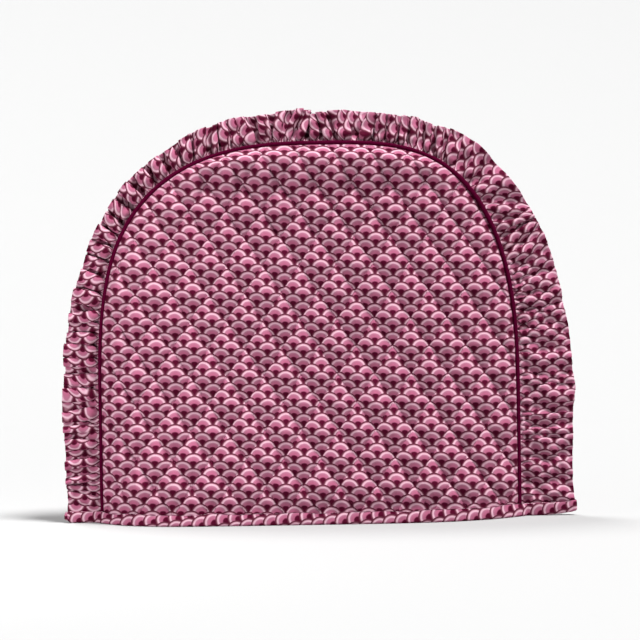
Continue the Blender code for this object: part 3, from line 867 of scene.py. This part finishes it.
def make_binding(material):
    """The bias strip: its folded section carried along the closed path, with slanting puckers on the outside.
    Its ends are rounded as quarter circles, and the right one rises a little as a power of the way."""
    path, normal, ring = binding_path()
    run = np.diff(path, axis=0, append=path[:1])
    along = running_sum(np.linalg.norm(run, axis=1))
    height = BINDING_HEIGHT + BINDING_TILT * (path[:, 0] - PANEL_X) + waves(along[:-1], BINDING_WAVES)

    def pucker(z):
        return waves(along[:-1] - PUCKER_SLANT * z, PUCKER_WAVES)

    profile = binding_profile(ring, height, pucker)
    from_left = path[:, 0] - path[:, 0].min() + CORNER_START
    from_right = path[:, 0].max() - path[:, 0] + CORNER_START
    radius = np.where(from_left < from_right, *CORNER_RADIUS)
    short = np.clip(radius - np.minimum(from_left, from_right), 0.0, radius * 0.98)
    corner = radius - np.sqrt(radius**2 - short**2)
    tail = TAIL_RISE * np.clip(1.0 - from_right / TAIL_RUN, 0.0, 1.0) ** 1.6
    z = corner + tail + profile[:, :, 1] * (1.0 - (corner + 0.5 * tail) / height)
    flat = path + normal * profile[:, :, :1]
    grid = np.concatenate([flat, z[..., None]], -1)
    faces, cloth_faces = grid_quads(*grid.shape[:2], wrap_rows=True, wrap_columns=True)
    down = np.linalg.norm(np.diff(profile[:, 0], axis=0, append=profile[:1, 0]), axis=1)
    down = -running_sum(down)[:, None]
    drawn = running_sum(np.linalg.norm(run * (1.0, BIAS_PULL), axis=1))
    front = len(path) // 2 - 5
    start = np.interp(BINDING_PRINT[0], path[:front, 0], drawn[:front])
    right = (drawn - start) / BIAS_STRETCH
    up = down - down[0] + BINDING_HEIGHT - BINDING_PRINT[1]
    cut = math.radians(BIAS_ANGLE)
    length_way = right * math.cos(cut) + up * math.sin(cut)
    cross_way = up * math.cos(cut) - right * math.sin(cut)
    cloth = np.stack([length_way, cross_way], -1)
    return put_mesh("bias_binding", grid, faces, material, cloth, cloth_faces)


class Term:
    """A value on its way through a material's nodes. It adds, multiplies and so on as a number does, with one
    Math node each time."""

    def __init__(self, wiring, socket):
        self.wiring = wiring
        self.socket = socket

    def math(self, operation, *others):
        """The result of one Math node on this value and the others."""
        return self.wiring.math(operation, self, *others)

    def __add__(self, other):
        return self.math("ADD", other)

    def __sub__(self, other):
        return self.math("SUBTRACT", other)

    def __rsub__(self, other):
        return self.wiring.math("SUBTRACT", other, self)

    def __mul__(self, other):
        return self.math("MULTIPLY", other)

    def __truediv__(self, other):
        return self.math("DIVIDE", other)


class Wiring:
    """A new material, and short ways to add shader nodes to it. Each way gives its result as a term."""

    def __init__(self, name):
        self.material = bpy.data.materials.new(name)
        self.material.use_nodes = True
        self.tree = self.material.node_tree
        self.surface = self.tree.nodes["Principled BSDF"]

    def join(self, value, socket):
        """Links a term to a socket, or writes a plain value there."""
        if isinstance(value, Term):
            self.tree.links.new(value.socket, socket)
        else:
            socket.default_value = value

    def node(self, kind, output, inputs, **settings):
        """Adds a node with its settings and inputs, and gives one of its outputs."""
        made = self.tree.nodes.new(kind)
        for name, value in settings.items():
            setattr(made, name, value)
        for place, value in inputs.items():
            self.join(value, made.inputs[place])
        return Term(self, made.outputs[output])

    def math(self, operation, *values):
        """The result of one Math node."""
        return self.node("ShaderNodeMath", 0, dict(enumerate(values)), operation=operation)

    def between(self, value, low, high, start=0.0, end=1.0):
        """A smooth change from start to end as the value goes from low to high."""
        inputs = {"Value": value, "From Min": low, "From Max": high, "To Min": start, "To Max": end}
        return self.node("ShaderNodeMapRange", "Result", inputs, interpolation_type="SMOOTHSTEP")

    def mix(self, share, first, second):
        """Two colours mixed by a share."""
        return self.node("ShaderNodeMix", 2, {0: share, 6: first, 7: second}, data_type="RGBA")

    def noise(self, place, scale, detail=2.0):
        """Soft noise round 0, at so many lumps a metre."""
        inputs = {"Vector": place, "Scale": scale, "Detail": detail}
        return self.node("ShaderNodeTexNoise", "Fac", inputs) - 0.5

    def chance(self, x, y):
        """A random value round 0 for each pair of whole numbers."""
        pair = self.node("ShaderNodeCombineXYZ", "Vector", {"X": x, "Y": y})
        return self.node("ShaderNodeTexWhiteNoise", "Value", {"Vector": pair}, noise_dimensions="2D") - 0.5

    def ramp(self, value, stops):
        """A colour ramp with linear steps between (place, colour) stops."""
        color = self.node("ShaderNodeValToRGB", "Color", {"Fac": value})
        ramp = color.socket.node.color_ramp
        while len(ramp.elements) > 1:
            ramp.elements.remove(ramp.elements[-1])
        ramp.elements[0].position, ramp.elements[0].color = stops[0]
        for place, shade in stops[1:]:
            ramp.elements.new(place).color = shade
        return color

    def map_place(self, name):
        """A UV map's vector and its two coordinates: the cloth's place in metres, or its stitch lines'."""
        place = self.node("ShaderNodeUVMap", "UV", {}, uv_map=name)
        split = self.node("ShaderNodeSeparateXYZ", "X", {"Vector": place})
        return place, split, Term(self, split.socket.node.outputs["Y"])

    def paint(self, color, change):
        """Gives the surface a colour made lighter or darker by a change round 0."""
        tint = self.node("ShaderNodeHueSaturation", "Color", {"Value": change + 1.0, "Color": color})
        self.join(tint, self.surface.inputs["Base Color"])

    def bump(self, height, strength, distance):
        """Gives the surface fine relief on its own normal."""
        inputs = {"Strength": strength, "Distance": distance, "Height": height}
        self.join(self.node("ShaderNodeBump", "Normal", inputs), self.surface.inputs["Normal"])

    def finish(self, roughness, specular):
        """Sets the cotton's plain values on the shader's own sockets."""
        self.surface.inputs["Roughness"].default_value = roughness
        self.surface.inputs["Specular IOR Level"].default_value = specular
        return self.material


def srgb(red, green, blue):
    """A colour of 0 to 255 screen values as linear light, by the screen's own curve."""
    shares = (value / 255 for value in (red, green, blue))
    linear = [((v + 0.055) / 1.055) ** 2.4 if v > 0.04045 else v / 12.92 for v in shares]
    return (*linear, 1.0)


def scallop_row(u, v, step):
    """One candidate row for a point: the row's number, and the place from the nearest scallop's centre. The
    row is the first whose circles reach the point, plus the step. Every second row is half a pitch over."""
    row = ((v - SCALLOP_RADIUS) / SCALLOP_ROW).math("CEIL") + step
    up = v - row * SCALLOP_ROW
    turns = u / SCALLOP_PITCH - row.math("FLOORED_MODULO", 2.0) * 0.5
    whole = turns.math("ROUND")
    across = (turns - whole) * SCALLOP_PITCH
    return row, whole, across, up, (across * across + up * up).math("SQRT")


def stitch_groove(wiring, place):
    """Relief of the pinched stitch lines, in metres: a smooth dip round each line, its depth uneven from
    stitch to stitch."""
    rising, falling = (
        wiring.between(line.math("PINGPONG", 0.5), 0.0, GROOVE_SHARE, GROOVE_DEPTH, 0.0)
        for line in wiring.map_place("stitch_lines")[1:]
    )
    uneven = wiring.noise(place, 330.0, 3.0) * 0.9 + 1.0
    return (rising * GROOVE_RISING).math("MAXIMUM", falling) * uneven * -1.0


def make_scallop_cotton(name, quilted):
    """Cotton printed with rows of overlapping scallops: dark eye, rose body, pale rim and fine outline. Of
    the two rows that reach a point, the lower one is in front. When quilted, its stitch lines are pinched."""
    wiring = Wiring(name)
    place, u, v = wiring.map_place("cloth")
    smudge = wiring.noise(place, 420.0) * SMUDGE
    u, v = u + smudge, v - smudge
    lower, upper = (scallop_row(u, v, step) for step in (0.0, 1.0))
    in_lower = lower[-1].math("LESS_THAN", SCALLOP_RADIUS)
    in_upper = 1.0 - in_lower
    number, whole, across, up, distance = (in_lower * a + in_upper * b for a, b in zip(lower, upper))
    color = wiring.ramp(distance / SCALLOP_RADIUS, [(at, srgb(*screen)) for at, screen in SCALLOP_STOPS])
    above, aside = up.math("MAXIMUM", 0.0) / EYE_HEIGHT, across / EYE_WIDTH
    in_eye = wiring.between((aside * aside + above * above).math("SQRT"), *EYE_FADE, 1.0, 0.0)
    color = wiring.mix(in_eye, color, srgb(*EYE_COLOR))
    wiring.paint(color, wiring.chance(number, whole) * 0.07 + wiring.noise(place, 900.0, 3.0) * 0.16)
    warp, weft = ((axis * (2 * math.pi / WEAVE_PITCH)).math("SINE") for axis in (u, v))
    weave = warp * weft + wiring.noise(place, 2600.0, 2.0)
    if quilted:
        wiring.bump(stitch_groove(wiring, place) + weave * WEAVE_DEPTH, 1.0, 1.0)
    else:
        wiring.bump(weave, 0.35, 0.00006)
    return wiring.finish(roughness=0.9, specular=0.08)


def make_plain_cotton(name, color):
    """Plain dyed cotton: a fine slanting weave and a little unevenness in the dye."""
    wiring = Wiring(name)
    place, u, v = wiring.map_place("cloth")
    wiring.paint(color, wiring.noise(place, 700.0, 3.0) * 0.35)
    warp, weft = ((axis * (2 * math.pi / COVER_PITCH)).math("SINE") for axis in (u + v, u - v))
    wiring.bump(warp * weft, 0.5, 0.00008)
    return wiring.finish(roughness=0.9, specular=0.03)


def make_thread_cotton(name, color):
    """Sewing thread: plain dye, a little uneven on object coordinates."""
    wiring = Wiring(name)
    place = wiring.node("ShaderNodeTexCoord", "Object", {})
    wiring.paint(color, wiring.noise(place, 1500.0) * 0.3)
    return wiring.finish(roughness=0.8, specular=0.15)


def dress(piece, slot, *nodes):
    """Lets a piece ride on the cosy and stand for its solids. The slot is not used."""
    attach(piece, "root")
    if nodes:
        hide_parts(*nodes)
    return piece


def make_cosy():
    """All the pieces of the cosy, each in place of its solid."""
    quilt_cotton = make_scallop_cotton("quilted_scallop_cotton", quilted=True)
    print_cotton = make_scallop_cotton("scallop_cotton", quilted=False)
    plum = make_plain_cotton("plum_cotton", srgb(*PLUM_DYE))
    thread = make_thread_cotton("plum_thread", srgb(*THREAD_DYE))
    for side in ("front", "back"):
        panel = dress(make_quilt(side, quilt_cotton), "scallop_cotton", side + "_panel")
        quilting = dress(make_quilting(side, thread), "scallop_cotton")
    frill, strip = make_frill(print_cotton)
    dress(frill, "frill_cotton", "frill")
    piping = dress(make_piping(plum), "plum_cotton", "piping")
    binding = dress(make_binding(print_cotton), "binding_cotton", "hem_binding")


def make_stage():
    """A pale floor, level round the cosy, that rises all round in an arc of large radius, as a bowl does."""
    side = np.linspace(-1.0, 1.0, STAGE_STEPS + 1)
    side = STAGE_HALF * side * (1.0 - STAGE_CROWDING + STAGE_CROWDING * side**2)
    x, y = np.meshgrid(side, side, indexing="ij")
    beyond = np.clip(np.hypot(x, y) - SWEEP_START, 0.0, SWEEP_RADIUS * 0.9)
    grid = np.stack([x, y, SWEEP_RADIUS - np.sqrt(SWEEP_RADIUS**2 - beyond**2)], -1)
    paint = bpy.data.materials.new("pale_floor")
    paint.use_nodes = True
    surface = paint.node_tree.nodes["Principled BSDF"]
    for socket, value in (("Base Color", FLOOR_COLOR), ("Roughness", 1.0), ("Specular IOR Level", 0.0)):
        surface.inputs[socket].default_value = value
    faces = grid_quads(STAGE_STEPS + 1, STAGE_STEPS + 1)[0][:, ::-1]
    floor = put_quads("floor", grid.reshape(-1, 3), faces, paint)


def add_light(name, kind, place, target, power, size):
    """A soft light of a kind at a place, aimed at a target; a sun's size is its angle in degrees."""
    data = bpy.data.lights.new(name, kind)
    data.energy = power
    if kind == "SUN":
        data.angle = math.radians(size)
    else:
        data.size = size
    light = bpy.data.objects.new(name, data)
    light.location = place
    way = Vector(target) - Vector(place)
    light.rotation_euler = way.to_track_quat("-Z", "Y").to_euler()
    bpy.context.scene.collection.objects.link(light)


def light_stage():
    """Soft studio light: a steep key sun from the front's right, a low lamp at the front's left, a steep weak
    sun from behind and a little light from all round."""
    for name, kind, place, power, size in LIGHTS:
        add_light(name, kind, place, LIGHT_TARGET, power, size)
    world = bpy.data.worlds.new("room")
    world.use_nodes = True
    sky = world.node_tree.nodes["Background"].inputs
    sky["Color"].default_value = (1.0, 1.0, 1.0, 1.0)
    sky["Strength"].default_value = WORLD_STRENGTH
    bpy.context.scene.world = world
    bpy.context.scene.view_settings.view_transform = "Standard"


def make_camera():
    """A camera at its distance, elevation and roll, aimed at the target."""
    elevation, roll = math.radians(CAMERA_ELEVATION), math.radians(CAMERA_ROLL)
    ahead = Vector((0.0, math.cos(elevation), -math.sin(elevation)))
    across = Vector((1.0, 0.0, 0.0))
    up = across.cross(ahead)
    right = across * math.cos(roll) + up * math.sin(roll)
    above = up * math.cos(roll) - across * math.sin(roll)
    data = bpy.data.cameras.new("camera")
    data.lens = data.sensor_width * CAMERA_DISTANCE / METRES_PER_PIXEL / PICTURE_PIXELS
    camera = bpy.data.objects.new("camera", data)
    turned = Matrix((right, above, -ahead)).transposed().to_4x4()
    turned.translation = Vector(CAMERA_TARGET) - ahead * CAMERA_DISTANCE
    camera.matrix_world = turned
    bpy.context.scene.collection.objects.link(camera)
    bpy.context.scene.camera = camera


make_cosy()
make_stage()
light_stage()
make_camera()
